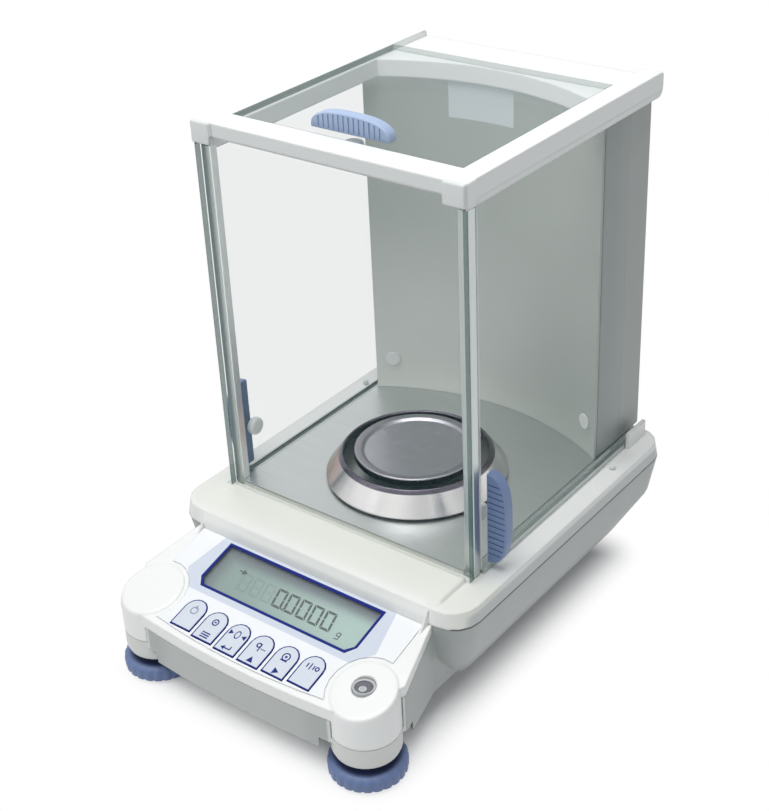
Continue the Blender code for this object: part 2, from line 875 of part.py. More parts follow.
def make_rear_housing():
    _, radius = rear_arc_centre()
    low = base_top + platform_height + clearance
    top = frame_top - frame_rail_height - clearance
    half, inner_half = column_half_width, column_half_width - column_shell
    outline = arc_points(radius + wall_sheet + clearance, half) + [(-half, base_rear), (half, base_rear)]
    shell = soften(plate("rear_housing", outline, low, top, column_grey), frame_edge, 2, 60)
    inner_rear = base_rear - column_shell
    outline = arc_points(radius + wall_sheet + column_shell, inner_half)
    outline += [(-inner_half, inner_rear), (inner_half, inner_rear)]
    cut(shell, plate("column_cavity", outline, low + column_shell, top - column_shell))
    ring = circle((jack_x, port_z), jack_radius + clearance)
    cut(shell, plate("jack_hole", ring, -base_rear - overrun, -inner_rear + overrun, plane="XZ"))
    half_width, half_height = port_half_width + clearance, port_half_height + clearance
    cut(shell, block("port_hole", (port_x - half_width, inner_rear - overrun, port_z - half_height),
                     (port_x + half_width, base_rear + overrun, port_z + half_height)))
    for side in (-1, 1):
        x = side * (main_board_half_width - 2 * main_board_post)
        for height in (main_board_bottom + main_board_margin, main_board_top - main_board_margin):
            post = circle((x, height), main_board_post / 2, 8)
            join(shell, plate("board_post", post, -inner_rear - wall / 2, -board_rear - clearance, plane="XZ"))


def make_main_board():
    half = main_board_half_width
    block("main_board", (-half, board_rear - board_thickness, main_board_bottom),
          (half, board_rear, main_board_top), board_green)


def make_dc_jack():
    centre = (jack_x, port_z)
    floor = board_rear + clearance
    body = plate("dc_jack", circle(centre, jack_radius), -base_rear - clearance, -floor, jack_black, "XZ")
    end = -floor - board_thickness
    cut(body, plate("jack_bore", circle(centre, jack_bore), -base_rear - overrun, end, plane="XZ"))


def make_serial_port():
    half, height = port_half_width, port_half_height
    floor, rear = board_rear + clearance, base_rear + port_proud
    port = block("serial_port", (port_x - half, floor, port_z - height), (port_x + half, rear, port_z + height),
                 port_metal)
    half, height = half - port_flange, height - port_flange
    cut(port, block("port_mouth", (port_x - half, floor + board_thickness, port_z - height),
                    (port_x + half, rear + overrun, port_z + height)))


def add_corner_caps(frame):
    """The square blocks at the frame's front corners that hold the posts."""
    for side in (-1, 1):
        outer = frame_half_width + cap_proud
        left, right = ordered(side, outer - cap_size, outer)
        cap = block("cap", (left, frame_front - 2 * cap_proud, frame_top - cap_height),
                    (right, cap_depth, frame_top + cap_proud / 2))
        join(frame, settled(soften(cap, frame_edge), "corner_cap"))


def cut_frame_grooves(frame):
    """Grooves under the frame that the front glass and the side doors stand in."""
    low, half = frame_top - frame_rail_height, frame_half_width - clearance
    cut(frame, block("glass_slot", (-half, glass_front - clearance, low - overrun),
                     (half, glass_front + front_glass_thickness + clearance, bar_low + groove_depth / 2)))
    for side in (-1, 1):
        left, right = ordered(side, door_outer_x - door_thickness - clearance, door_outer_x + clearance)
        cut(frame, block("door_groove", (left, door_front - clearance, low - overrun),
                         (right, frame_rear + overrun, low + groove_depth)))


def make_top_frame():
    low, top, rear, half = frame_top - frame_rail_height, frame_top, frame_rear, frame_half_width
    outline = [(frame_front, low), (frame_front, top), (rear - frame_edge, top), (rear, top - frame_edge)]
    outline += arc((rear - frame_corner, low + frame_corner), frame_corner, 0, -90, corner_steps)
    frame = soften(plate("top_frame", outline, -half, half, frame_white, "YZ"), frame_edge, 2, 50)
    _, radius = rear_arc_centre()
    hole = [(-opening_half_width, opening_front), (opening_half_width, opening_front)]
    hole += arc_points(radius - opening_lip, opening_half_width)
    cut(frame, plate("opening", hole, low - overrun, top + overrun))
    channel_floor = top - door_thickness - clearance
    cut(frame, block("channel", (-top_channel_half_width, opening_front, channel_floor),
                     (top_channel_half_width, rear + overrun, top + overrun)))
    cut(frame, block("under_bar", (cap_size - half, -overrun, low - overrun),
                     (half - cap_size, opening_front + overrun, bar_low)))
    add_corner_caps(frame)
    cut_frame_grooves(frame)


def make_front_glass():
    half = frame_half_width - 2 * clearance
    block("front_glass", (-half, glass_front, base_top),
          (half, glass_front + front_glass_thickness, bar_low + groove_depth / 2 - clearance), clear_glass)


def make_corner_posts():
    for side, name in ((-1, "left"), (1, "right")):
        left, right = ordered(side, post_inner, post_inner + post_width - 2 * clearance)
        post = block("corner_post_" + name, (left, post_rear - post_depth, base_top),
                     (right, post_rear, frame_top - frame_rail_height - clearance), post_metal)
        soften(post, frame_edge / 2, 1)


def make_side_doors():
    low, high = base_top + track_height + clearance, frame_top - frame_rail_height + groove_depth - clearance
    for side, name in ((-1, "left"), (1, "right")):
        left, right = ordered(side, door_outer_x - door_thickness, door_outer_x)
        block("side_door_" + name, (left, door_front, low), (right, door_rear, high), clear_glass)


def make_door_tracks():
    for side, name in ((-1, "left"), (1, "right")):
        left, right = ordered(side, track_inner, door_outer_x + clearance + track_wall)
        track = block("door_track_" + name, (left, door_front, base_top),
                      (right, base_rear - base_corner, base_top + 2 * track_height), post_metal)
        left, right = ordered(side, track_inner + track_wall, door_outer_x + clearance)
        cut(track, block("track_slot", (left, -overrun, base_top + track_height),
                         (right, base_rear, base_top + track_height + overrun)))


def make_top_door():
    half = top_channel_half_width - clearance
    block("top_door", (-half, opening_front + clearance, frame_top - door_thickness),
          (half, door_rear + clearance, frame_top), clear_glass)


def grip_outline(length, reach):
    """A grip seen from its broad side: a straight foot under a flattened arch."""
    points = []
    for i in range(grip_steps + 1):
        turn = math.pi * i / grip_steps
        along, up = -math.cos(turn), abs(math.sin(turn))
        points.append((reach * up ** grip_curve_share,
                       math.copysign(length / 2 * abs(along) ** grip_curve_share, along)))
    return points


def rib_places(length):
    """Middles of the finger grooves along a grip, and the half width of each."""
    pitch = length * rib_span_share / rib_count
    return [pitch * (row - (rib_count - 1) / 2) for row in range(rib_count)], pitch * rib_share / 2


def rib_depths(middle):
    """Low and high depth of the cutters on the two broad faces of a grip."""
    front, rear = middle - handle_width / 2, middle + handle_width / 2
    return ((front - overrun, front + rib_depth), (rear - rib_depth, rear + overrun))


def make_side_handles():
    foot = door_outer_x + clearance
    middle = handle_bottom + handle_length / 2
    places, rib_half = rib_places(handle_length)
    for side, name in ((-1, "left"), (1, "right")):
        outline = [(side * (foot + out), middle + up) for out, up in grip_outline(handle_length, handle_reach)]
        rear, front = -handle_y - handle_width / 2, -handle_y + handle_width / 2
        grip = plate("side_handle_" + name, outline, rear, front, grip_blue, "XZ")
        soften(pivot(grip, (side * foot, handle_y, middle)), wall / 2, 1, 50)
        left, right = ordered(side, foot + wall, foot + handle_reach - wall)
        for place in places:
            low, high = middle + place - rib_half, middle + place + rib_half
            for near, far in rib_depths(handle_y):
                cut(grip, block("rib", (left, near, low), (right, far, high)))


def make_door_knobs():
    inner = door_outer_x - door_thickness - clearance
    for side, name in ((-1, "left"), (1, "right")):
        knob = rod("door_knob_" + name, (0.0, 0.0), knob_radius, 0.0, knob_thickness, knob_white, 20)
        soften(knob, knob_edge, 2)
        knob.rotation_euler = (0.0, math.radians(90), 0.0)
        knob.location = (side * (inner - knob_thickness / 2), handle_y, handle_bottom + handle_length / 2)


def make_top_handle():
    foot = frame_top + clearance
    outline = [(along, foot + up) for up, along in grip_outline(top_handle_length, top_handle_reach)]
    rear, front = -top_handle_y - handle_width / 2, -top_handle_y + handle_width / 2
    grip = plate("top_handle", outline, rear, front, grip_blue, "XZ")
    soften(pivot(grip, (0.0, top_handle_y, foot)), wall / 2, 1, 50)
    places, rib_half = rib_places(top_handle_length)
    for place in places:
        for near, far in rib_depths(top_handle_y):
            cut(grip, block("rib", (place - rib_half, near, foot + wall),
                            (place + rib_half, far, foot + top_handle_reach - wall)))


def make_top_door_knob():
    high = frame_top - door_thickness - clearance
    knob = rod("top_door_knob", (0.0, top_handle_y), knob_radius, high - knob_thickness, high, knob_white, 20)
    soften(knob, knob_edge, 2)


def make_pan():
    top, sheet, hub, reach = pan_top, pan_sheet, pan_hub_radius, pan_radius
    dish = reach - pan_rim
    low = top - pan_dish - sheet
    bore = spindle_radius + clearance
    profile = [
        (0.0, top - pan_dish), (dish - pan_dish, top - pan_dish), (dish, top - sheet / 3), (reach - sheet / 2, top),
        (reach, top - sheet / 2), (reach, top - pan_skirt), (reach - sheet, top - pan_skirt),
        (reach - sheet, top - 2 * sheet), (dish, low), (hub, low), (hub, top - pan_hub_depth),
        (bore, top - pan_hub_depth), (bore, low - sheet), (0.0, low - sheet),
    ]
    turned("weighing_pan", profile, (pan_x, pan_y), pan_steel)


def make_draft_ring():
    foot = base_top + platform_height + floor_thickness + clearance
    sheet, high = ring_sheet, ring_top
    lip_low = high - 4 * sheet
    profile = [
        (ring_lip_radius, high), (ring_shoulder_radius, ring_shoulder), (ring_radius, foot + ring_foot),
        (ring_radius, foot), (ring_radius - sheet, foot), (ring_radius - sheet, foot + ring_foot),
        (ring_shoulder_radius - sheet, ring_shoulder - sheet), (ring_lip_radius - sheet / 2, high - 2 * sheet),
        (ring_inner_radius + sheet / 2, lip_low), (ring_inner_radius, lip_low),
        (ring_inner_radius, high - sheet), (ring_inner_radius + sheet / 2, high),
    ]
    turned("draft_ring", profile, (pan_x, pan_y), ring_steel, ring=True)


def make_pan_spindle():
    high = pan_top - pan_dish - 2 * pan_sheet - clearance
    cone_top = pan_top - pan_hub_depth - spindle_cone / 2
    foot = cell_top + clearance
    flange = foot + pan_sheet
    profile = [
        (0.0, high), (spindle_radius - clearance, high), (spindle_radius - clearance, cone_top),
        (spindle_radius, cone_top - spindle_cone / 2), (spindle_radius, flange), (pan_hub_radius, flange),
        (pan_hub_radius, foot), (0.0, foot),
    ]
    turned("pan_spindle", profile, (pan_x, pan_y), cast_metal, 24)


def make_chassis():
    block("chassis_plate", (-chassis_half_width, chassis_front, chassis_top - chassis_thickness),
          (chassis_half_width, chassis_rear, chassis_top), cast_metal)


def make_weigh_cell():
    low, half, slot = chassis_top + clearance, cell_half_width, chassis_thickness / 2
    cell = block("weigh_cell", (-half, cell_front, low), (half, cell_rear, cell_top), cast_metal)
    for share in flexure_shares:
        level = low + (cell_top - low) * share
        cut(cell, block("flexure", (-half - overrun, cell_front + 2 * overrun, level - slot),
                        (half + overrun, cell_rear - 2 * overrun, level + slot)))


def make_magnet_can():
    low = chassis_top + clearance
    rod("magnet_can", (0.0, coil_y), coil_radius, low, low + coil_height, magnet_metal)


def make_door_stops():
    for side, name in ((-1, "left"), (1, "right")):
        stop = rod("door_stop_" + name, (side * peg_x, peg_y), peg_radius, base_top + clearance,
                   base_top + peg_height, knob_white, hole_steps)
        soften(stop, peg_radius / 3, 1)


def make_case_screws():
    low, seat = case_underside, case_underside + wall / 2 - clearance
    high = low + screw_length
    profile = [(0.0, high), (screw_shank, high), (screw_shank, seat), (screw_head, seat), (screw_head, low)]
    profile.append((0.0, low))
    for side, name in ((-1, "left"), (1, "right")):
        for depth, place in ((screw_front, "front"), (screw_rear, "rear")):
            turned("case_screw_%s_%s" % (place, name), profile, (side * screw_x, depth), screw_metal, 12)


post_inner = frame_half_width - post_width
post_rear = glass_front + front_glass_thickness + clearance + post_depth
track_inner = door_outer_x - door_thickness - clearance - track_wall
bar_low = frame_top - frame_bar_height
board_rear = base_rear - column_shell - main_board_post
chassis_half_width = screw_x - chassis_margin
chassis_top = case_underside + wall + clearance + chassis_thickness

case_outside = outer_shape()
case_inside = cavity_shape()
make_upper_cover(case_outside, case_inside)
make_lower_case(case_outside, case_inside)
make_overlay()
make_keys()
make_lcd_window()
make_lcd_module()
make_display_board()
make_level()
make_front_feet()
make_rear_feet()
make_floor()
make_rear_wall()
make_wall_buttons()
make_rear_housing()
make_main_board()
make_dc_jack()
make_serial_port()
make_top_frame()
make_front_glass()
make_corner_posts()
make_side_doors()
make_door_tracks()
make_top_door()
make_side_handles()
make_door_knobs()
make_top_handle()
make_top_door_knob()
make_pan()
make_draft_ring()
make_pan_spindle()
make_chassis()
make_weigh_cell()
make_magnet_can()
make_door_stops()
make_case_screws()
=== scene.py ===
# Semi-micro balance: looks over the CAD frame
import json
import math
import bmesh
import bpy
from mathutils import Matrix, Vector

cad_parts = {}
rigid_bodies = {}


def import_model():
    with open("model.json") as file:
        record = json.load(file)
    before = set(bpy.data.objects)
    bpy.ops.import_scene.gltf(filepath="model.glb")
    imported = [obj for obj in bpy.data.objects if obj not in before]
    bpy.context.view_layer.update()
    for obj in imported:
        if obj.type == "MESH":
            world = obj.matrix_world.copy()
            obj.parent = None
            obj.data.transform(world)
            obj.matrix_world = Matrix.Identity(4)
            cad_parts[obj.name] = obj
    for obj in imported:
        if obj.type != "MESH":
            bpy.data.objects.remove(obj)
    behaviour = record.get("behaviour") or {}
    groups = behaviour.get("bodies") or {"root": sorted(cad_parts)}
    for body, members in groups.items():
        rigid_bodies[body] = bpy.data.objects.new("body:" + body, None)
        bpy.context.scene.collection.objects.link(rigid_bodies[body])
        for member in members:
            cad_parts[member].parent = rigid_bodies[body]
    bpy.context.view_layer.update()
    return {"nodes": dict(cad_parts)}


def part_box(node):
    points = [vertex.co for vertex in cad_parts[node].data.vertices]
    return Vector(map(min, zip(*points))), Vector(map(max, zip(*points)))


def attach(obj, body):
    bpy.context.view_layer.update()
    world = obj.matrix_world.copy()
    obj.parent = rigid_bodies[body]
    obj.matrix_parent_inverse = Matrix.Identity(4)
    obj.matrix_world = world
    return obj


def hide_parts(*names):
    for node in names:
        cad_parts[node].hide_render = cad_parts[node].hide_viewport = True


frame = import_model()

scene = bpy.context.scene


# Studio: a camera at the photo's viewpoint, a broad soft lamp overhead and a weak one
# over the left shoulder, a white sky and a white floor whose glow fades near the case into a painted shadow
# round its footprint.
camera_place = Vector((0.48682, -0.60879, 0.59939))
camera_azimuth, camera_fall, camera_roll = (math.radians(angle) for angle in (38.73, 28.96, -2.78))
camera_lens, camera_drop = 66.82, -0.0475
top_place, top_size, top_power = (-0.06, -0.30, 1.50), 1.2, 17.5
side_place, side_size, side_power = (-0.75, -0.95, 1.00), 0.9, 1.5
sky_tint, sky_strength = (0.92, 0.96, 1.0, 1.0), 0.30
lamp_target = Vector((0.0, 0.0, 0.10))
floor_size, floor_drop = 16.0, 0.0004
footprint_half, footprint_back = (0.080, 0.120), 0.012
shadow_start, shadow_end, shadow_share = -0.004, 0.034, 0.94

ahead = Vector((-math.sin(camera_azimuth) * math.cos(camera_fall),
                math.cos(camera_azimuth) * math.cos(camera_fall), -math.sin(camera_fall)))
across = ahead.cross(Vector((0, 0, 1))).normalized()
over = across.cross(ahead)
right = across * math.cos(camera_roll) + over * math.sin(camera_roll)
upward = over * math.cos(camera_roll) - across * math.sin(camera_roll)
turned = Matrix((right, upward, -ahead)).transposed().to_4x4()
bpy.ops.object.camera_add(location=camera_place)
camera = bpy.context.object
camera.matrix_world = Matrix.Translation(camera_place) @ turned
camera.data.lens, camera.data.shift_y = camera_lens, camera_drop
scene.camera = camera
for place, size, power in ((top_place, top_size, top_power), (side_place, side_size, side_power)):
    way = (lamp_target - Vector(place)).to_track_quat("-Z", "Y").to_euler()
    bpy.ops.object.light_add(type="AREA", location=place, rotation=way)
    bpy.context.object.data.size, bpy.context.object.data.energy = size, power
scene.view_settings.view_transform = "Standard"


def plug(tree, slot, value):
    """Link a wire to a socket, or set the socket to a plain value."""
    if isinstance(value, Wire):
        tree.links.new(value.socket, slot)
    else:
        slot.default_value = value


class Nodes:
    """A node tree with one way to add a node."""

    def __init__(self, tree):
        self.tree = tree

    def add(self, kind, settings, values, out=0):
        """A node of a type, its settings first, then its sockets' values; gives one output."""
        node = self.tree.nodes.new("ShaderNode" + kind)
        for key, value in settings.items():
            setattr(node, key, value)
        for key, value in values.items():
            plug(self.tree, node.inputs[key], value)
        return Wire(self, node.outputs[out])


class Wire:
    """A socket that can be used in arithmetic; each operation adds a Math node."""

    def __init__(self, nodes, socket):
        self.nodes, self.socket = nodes, socket

    def math(self, operation, *others):
        return self.nodes.add("Math", {"operation": operation}, dict(enumerate((self,) + others)))

    def __add__(self, other):
        return self.math("ADD", other)

    def __sub__(self, other):
        return self.math("SUBTRACT", other)

    def __mul__(self, other):
        return self.math("MULTIPLY", other)

    def __truediv__(self, other):
        return self.math("DIVIDE", other)

    def __neg__(self):
        return self * -1.0

    def __rsub__(self, other):
        return -self + other

    def __abs__(self):
        return self.math("ABSOLUTE")

    __radd__, __rmul__ = __add__, __mul__

    def most(self, other):
        return self.math("MAXIMUM", other)

    def least(self, other):
        return self.math("MINIMUM", other)

    def ramp(self, start, end):
        """0 at start and 1 at end, smooth between."""
        ends = (0.0, 1.0) if start < end else (1.0, 0.0)
        low, high = min(start, end), max(start, end)
        return self.nodes.add("MapRange", {"interpolation_type": "SMOOTHSTEP"},
                              {0: self, 1: low, 2: high, 3: ends[0], 4: ends[1]})


def seen_directly(nodes):
    """1 for the rays that see the background straight, in a mirror or through glass."""
    camera_ray, glossy_ray, transmission_ray = (nodes.add("LightPath", {}, {}, out) for out in (
        "Is Camera Ray", "Is Glossy Ray", "Is Transmission Ray"))
    return camera_ray.most(glossy_ray).most(transmission_ray)


sky = bpy.data.worlds.new("sky")
sky.use_nodes = True
scene.world = sky
sky_nodes = Nodes(sky.node_tree)
soft = sky_nodes.add("Background", {}, {0: sky_tint, 1: sky_strength})
plain = sky_nodes.add("Background", {}, {0: (1.0, 1.0, 1.0, 1.0)})
both = sky_nodes.add("MixShader", {}, {0: seen_directly(sky_nodes), 1: soft, 2: plain})
plug(sky.node_tree, sky.node_tree.nodes["World Output"].inputs[0], both)

bpy.ops.mesh.primitive_plane_add(size=floor_size, location=(0.0, 0.0, -floor_drop))
floor = bpy.context.object
floor.name = "studio_floor"
paper = bpy.data.materials.new("studio_paper")
paper.use_nodes = True
paper.node_tree.nodes.remove(paper.node_tree.nodes["Principled BSDF"])
paper_nodes = Nodes(paper.node_tree)
ground = paper_nodes.add("SeparateXYZ", {}, {0: paper_nodes.add("TexCoord", {}, {}, "Object")})
ground_x, ground_y = (Wire(paper_nodes, ground.socket.node.outputs[axis]) for axis in ("X", "Y"))
# The floor's glow fades out within a few centimetres of the case's footprint: a painted shadow laid over the
# real one.
beside = (abs(ground_x) - footprint_half[0]).most(0.0)
before = (abs(ground_y + footprint_back) - footprint_half[1]).most(0.0)
away = (beside * beside + before * before).math("SQRT").ramp(shadow_start, shadow_end)
glow_outside_painted_shadow = seen_directly(paper_nodes) * (away * shadow_share + (1 - shadow_share))
cloth = paper_nodes.add("BsdfDiffuse", {}, {0: (0.93, 0.93, 0.935, 1.0)})
glow = paper_nodes.add("Emission", {}, {0: (1.0, 1.0, 1.0, 1.0)})
plug(paper.node_tree, paper.node_tree.nodes["Material Output"].inputs[0],
     paper_nodes.add("MixShader", {}, {0: glow_outside_painted_shadow, 1: cloth, 2: glow}))
floor.data.materials.append(paper)


# Upper cover: one white ABS moulding with the apron, the sloping panel and the towers,
# screwed from below to the lower case. Fine spark-eroded texture, a warmer and darker
# painted shade on the apron's curve, a grey painted shade down the flanks, and a dark line
# of painted shade where the two shells meet.
apron_rise, apron_fade = (-0.002, 0.012), (0.055, 0.035)
flank_top, flank_side = (0.0765, 0.0735), (0.1040, 0.1075)
seam_top, seam_front = (0.0688, 0.0683), (-0.0790, -0.0780)


def tone(code):
    """A linear colour from a screen colour written as six hex digits."""
    parts = [int(code[i:i + 2], 16) / 255 for i in (0, 2, 4)]
    return tuple(p / 12.92 if p <= 0.04045 else ((p + 0.055) / 1.055) ** 2.4 for p in parts) + (1.0,)


def reach(a, b):
    """The length of a vector of two wires."""
    return (a * a + b * b).math("SQRT")


class Finish(Nodes):
    """A procedural material: its shader, its object coordinates and a few recipes."""

    def __init__(self, name, roughness=0.4, metallic=0.0, **constants):
        self.material = bpy.data.materials.new(name)
        self.material.use_nodes = True
        super().__init__(self.material.node_tree)
        self.shader = self.tree.nodes["Principled BSDF"]
        self.set("Roughness", roughness)
        self.set("Metallic", metallic)
        for key, value in constants.items():
            self.set(key.replace("_", " "), value)
        self.place = self.add("TexCoord", {}, {}, "Object")
        split = self.add("SeparateXYZ", {}, {0: self.place}).socket.node
        self.x, self.y, self.z = (Wire(self, socket) for socket in split.outputs)

    def set(self, socket, value):
        plug(self.tree, self.shader.inputs[socket], value)

    def noise(self, scale, detail=2.0, stretch=(1.0, 1.0, 1.0)):
        """Noise at a scale in features a metre, stretched along the axes."""
        turned_place = self.add("Mapping", {}, {"Scale": stretch, "Vector": self.place})
        return self.add("TexNoise", {}, {"Vector": turned_place, "Scale": scale, "Detail": detail}, "Fac")

    def mix(self, share, low, high):
        """One colour at share 0 and another at share 1."""
        return self.add("Mix", {"data_type": "RGBA"}, {0: share, 6: low, 7: high}, 2)

    def relief(self, height, depth, rounding=0.0):
        """Bump of a depth in metres, over normals rounded at the edges by a radius."""
        values = {"Distance": depth, "Height": height}
        if rounding:
            values["Normal"] = self.add("Bevel", {"samples": 6}, {"Radius": rounding})
        self.set("Normal", self.add("Bump", {}, values))


def dress(finish, *nodes):
    """Give CAD nodes a finish."""
    for name in nodes:
        for slot in frame["nodes"][name].material_slots:
            slot.material = finish.material


def moulded(name, light, dark, roughness=0.42, rounding=0.0, grain=2600.0):
    """Moulded plastic: fine texture, slight mottling in colour and gloss."""
    finish = Finish(name, Coat_Roughness=0.28)
    finish.set("Coat Weight", 0.12)
    finish.set("Base Color", finish.mix(finish.noise(38.0, 3.0), tone(light), tone(dark)))
    finish.set("Roughness", finish.noise(260.0, 3.0) * 0.10 + (roughness - 0.05))
    finish.relief(finish.noise(grain, 2.0), 0.00003, rounding)
    return finish


def edit(piece):
    """Select one object alone and open it in edit mode with all of it selected."""
    bpy.ops.object.select_all(action="DESELECT")
    piece.select_set(True)
    bpy.context.view_layer.objects.active = piece
    bpy.ops.object.mode_set(mode="EDIT")
    bpy.ops.mesh.select_all(action="SELECT")


def apply(kind, **settings):
    """Add a modifier to the active object and apply it."""
    modifier = bpy.context.object.modifiers.new(kind.title(), kind)
    for key, value in settings.items():
        setattr(modifier, key, value)
    bpy.ops.object.modifier_apply(modifier=modifier.name)


def shade(angle):
    """Back in object mode, smooth shading over all edges flatter than an angle in degrees."""
    bpy.ops.object.mode_set(mode="OBJECT")
    bpy.ops.object.shade_smooth_by_angle(angle=math.radians(angle))
    apply("WEIGHTED_NORMAL", keep_sharp=True)


def stand_for(piece, finish, node):
    """Show a dressed piece in place of a CAD node, on the node's body."""
    source = frame["nodes"][node]
    piece.data.materials.clear()
    piece.data.materials.append(finish.material)
    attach(piece, source.parent.name.split(":", 1)[1])
    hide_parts(node)


def skin(node, finish, angle=32):
    """Stand a merged copy of a node for it, so that its curves shade smoothly."""
    source = frame["nodes"][node]
    piece = bpy.data.objects.new(node + "_skin", source.data.copy())
    scene.collection.objects.link(piece)
    edit(piece)
    bpy.ops.mesh.customdata_custom_splitnormals_clear()
    bpy.ops.mesh.remove_doubles(threshold=0.00001)
    bpy.ops.mesh.dissolve_limited(angle_limit=math.radians(0.2))
    shade(angle)
    stand_for(piece, finish, node)


panel_low, panel_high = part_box("keypad_overlay")
cover_finish = moulded("cover_abs", "F4F5F2", "EFF0ED", 0.40, 0.0020)
behind_panel = cover_finish.y - panel_high.y
# Painted shade on the apron's curve: a warmer, darker tone.
apron_painted_shade = behind_panel.ramp(*apron_rise) * behind_panel.ramp(*apron_fade)
cover_tone = cover_finish.mix(apron_painted_shade, tone("F4F5F3"), tone("EEEFE7"))
# Painted shade down the flanks, which face away from the lamps.
flank_painted_shade = cover_finish.z.ramp(*flank_top) * abs(cover_finish.x).ramp(*flank_side)
cover_tone = cover_finish.mix(flank_painted_shade, cover_tone, tone("C9CDCB"))
# Painted shade along the cover's lower edge, in the gap where the shells meet.
seam_painted_shade = cover_finish.z.ramp(*seam_top) * cover_finish.y.ramp(*seam_front)
cover_finish.set("Base Color", cover_finish.mix(seam_painted_shade, cover_tone, tone("5A5E5D")))
skin("upper_cover", cover_finish)


# Lower case: the moulded shell under the cover, in the same plastic with a coarser
# texture. Its grey tone is painted shade: deepest along the flanks, lighter on the front,
# and lightest at the towers.
case_shade_pale, case_shade_deep = "B4B9B7", "ADB2B0"
tower_x, tower_y, tower_reach, tower_blend = 0.0800, -0.1329, 0.0215, 0.0010
front_reach, front_share = (-0.1520, -0.1530), 0.5
case_finish = moulded("case_abs", case_shade_pale, case_shade_deep, 0.48, 0.0012, 1900.0)
# Less painted shade at the towers and on the front than along the flanks.
from_tower = reach(abs(case_finish.x) - tower_x, case_finish.y - tower_y)
at_tower = from_tower.ramp(tower_reach + tower_blend, tower_reach)
at_front = case_finish.y.ramp(*front_reach) * (1 - at_tower)
case_tone = case_finish.mix(case_finish.noise(38.0, 3.0), tone(case_shade_pale), tone(case_shade_deep))
case_tone = case_finish.mix(at_tower, case_tone, tone("DBDDD8"))
case_finish.set("Base Color", case_finish.mix(at_front * front_share, case_tone, tone("C6CAC7")))
skin("lower_case", case_finish)


# Keypad overlay: printed polyester film in its recess, with a pale band round the
# display, a dark blue line round the window and a fine line inside the front edge.
window_low, window_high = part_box("lcd_window")
window_half, window_side, window_taper = window_high.x, 0.0056, 0.0043
window_points = ((window_half, window_high.y), (window_half, window_low.y + window_side),
                 (window_half - window_taper, window_low.y))
band_points = ((window_half + 0.0064, window_high.y + 0.0025), (window_half + 0.0127, window_low.y + 0.0066),
               (window_half + 0.0016, window_low.y - 0.0046))


def outline_distance(finish, points):
    """Distance outside a shape mirrored left to right, from its right half's corners, rear to front."""
    side = abs(finish.x)
    far = (finish.y - points[0][1]).most(points[-1][1] - finish.y)
    for (x0, y0), (x1, y1) in zip(points, points[1:]):
        length = math.hypot(x1 - x0, y1 - y0)
        nx, ny = (y0 - y1) / length, (x1 - x0) / length
        far = far.most((side - x0) * nx + (finish.y - y0) * ny)
    return far


ink_blue = tone("15267C")
film = Finish("printed_film", 0.40, Specular_IOR_Level=0.15)
inside_band = outline_distance(film, band_points).ramp(0.0002, -0.0002)
border = outline_distance(film, window_points)
film_tone = film.mix(film.noise(60.0), tone("F7F9FA"), tone("F3F5F7"))
film_tone = film.mix(inside_band, film_tone, tone("D5DCE8"))
film.set("Base Color", film.mix(border.ramp(0.0007, 0.0004), film_tone, ink_blue))
film.relief(film.noise(1500.0, 1.0), 0.00001)
dress(film, "keypad_overlay")


# Keys: domes pressed in the same film over small plungers, each with a dark blue
# printed rim and a plain sign. The plungers push switches on the board below.
def ring_of(u, v, x, y, radius, width):
    return abs(reach(u - x, v - y) - radius) - width


def bar(u, v, x, y, half, width):
    return (abs(u - x) - half).most(abs(v - y) - width)


def nearest(shapes):
    """The distance to the nearest of several shapes."""
    distance = shapes[0]
    for shape in shapes[1:]:
        distance = distance.least(shape)
    return distance


def triangle(u, v, x, y, size, turn):
    """A solid triangle with its point turned from +X by an angle in degrees."""
    sides = []
    for step in (60, 180, 300):
        a = math.radians(turn + step)
        sides.append((u - x) * math.cos(a) + (v - y) * math.sin(a) - size / 2)
    return sides[0].most(sides[1]).most(sides[2])


line = 0.00040


def key_symbols(index, u, v):
    """Distances to the printed signs of a key, without wording."""
    signs = {
        1: lambda: [ring_of(u, v, 0.0, 0.0026, 0.0022, line),
                    bar(u, v, 0.0, 0.0050, line, 0.0012)],
        2: lambda: [ring_of(u, v, 0.0, 0.0030, 0.0019, line),
                    bar(u, v, 0.0, 0.0030, 0.0009, line)]
        + [bar(u, v, 0.0, y, 0.0030, line) for y in (-0.0050, -0.0065, -0.0080)],
        3: lambda: [triangle(u, v, -0.0050, 0.0028, 0.0020, 0),
                    triangle(u, v, 0.0050, 0.0028, 0.0020, 180),
                    abs(reach(u * 1.5, v - 0.0028) - 0.0024) - line,
                    triangle(u, v, -0.0024, -0.0074, 0.0018, 180),
                    bar(u, v, 0.0002, -0.0074, 0.0022, line),
                    bar(u, v, 0.0024, -0.0064, line, 0.0013)],
        4: lambda: [triangle(u, v, 0.0, -0.0072, 0.0026, 90),
                    ring_of(u, v, -0.0016, 0.0030, 0.0013, line),
                    bar(u, v, -0.0002, 0.0018, line, 0.0026)]
        + [bar(u, v, x, 0.0014, line, line) for x in (0.0014, 0.0026, 0.0038)],
        5: lambda: [triangle(u, v, 0.0, -0.0072, 0.0026, 0),
                    ring_of(u, v, 0.0, 0.0030, 0.0023, line),
                    reach(u, v - 0.0030) - 0.0008,
                    bar(u, v, 0.0, 0.0004, 0.0023, line)],
        6: lambda: [bar(u, v, x, 0.0030, line, 0.0014) for x in (-0.0034, 0.0010)]
        + [bar(u, v, -0.0012, 0.0030, line, 0.0022),
           ring_of(u, v, 0.0034, 0.0030, 0.0011, line)],
    }
    return nearest(signs[index]())


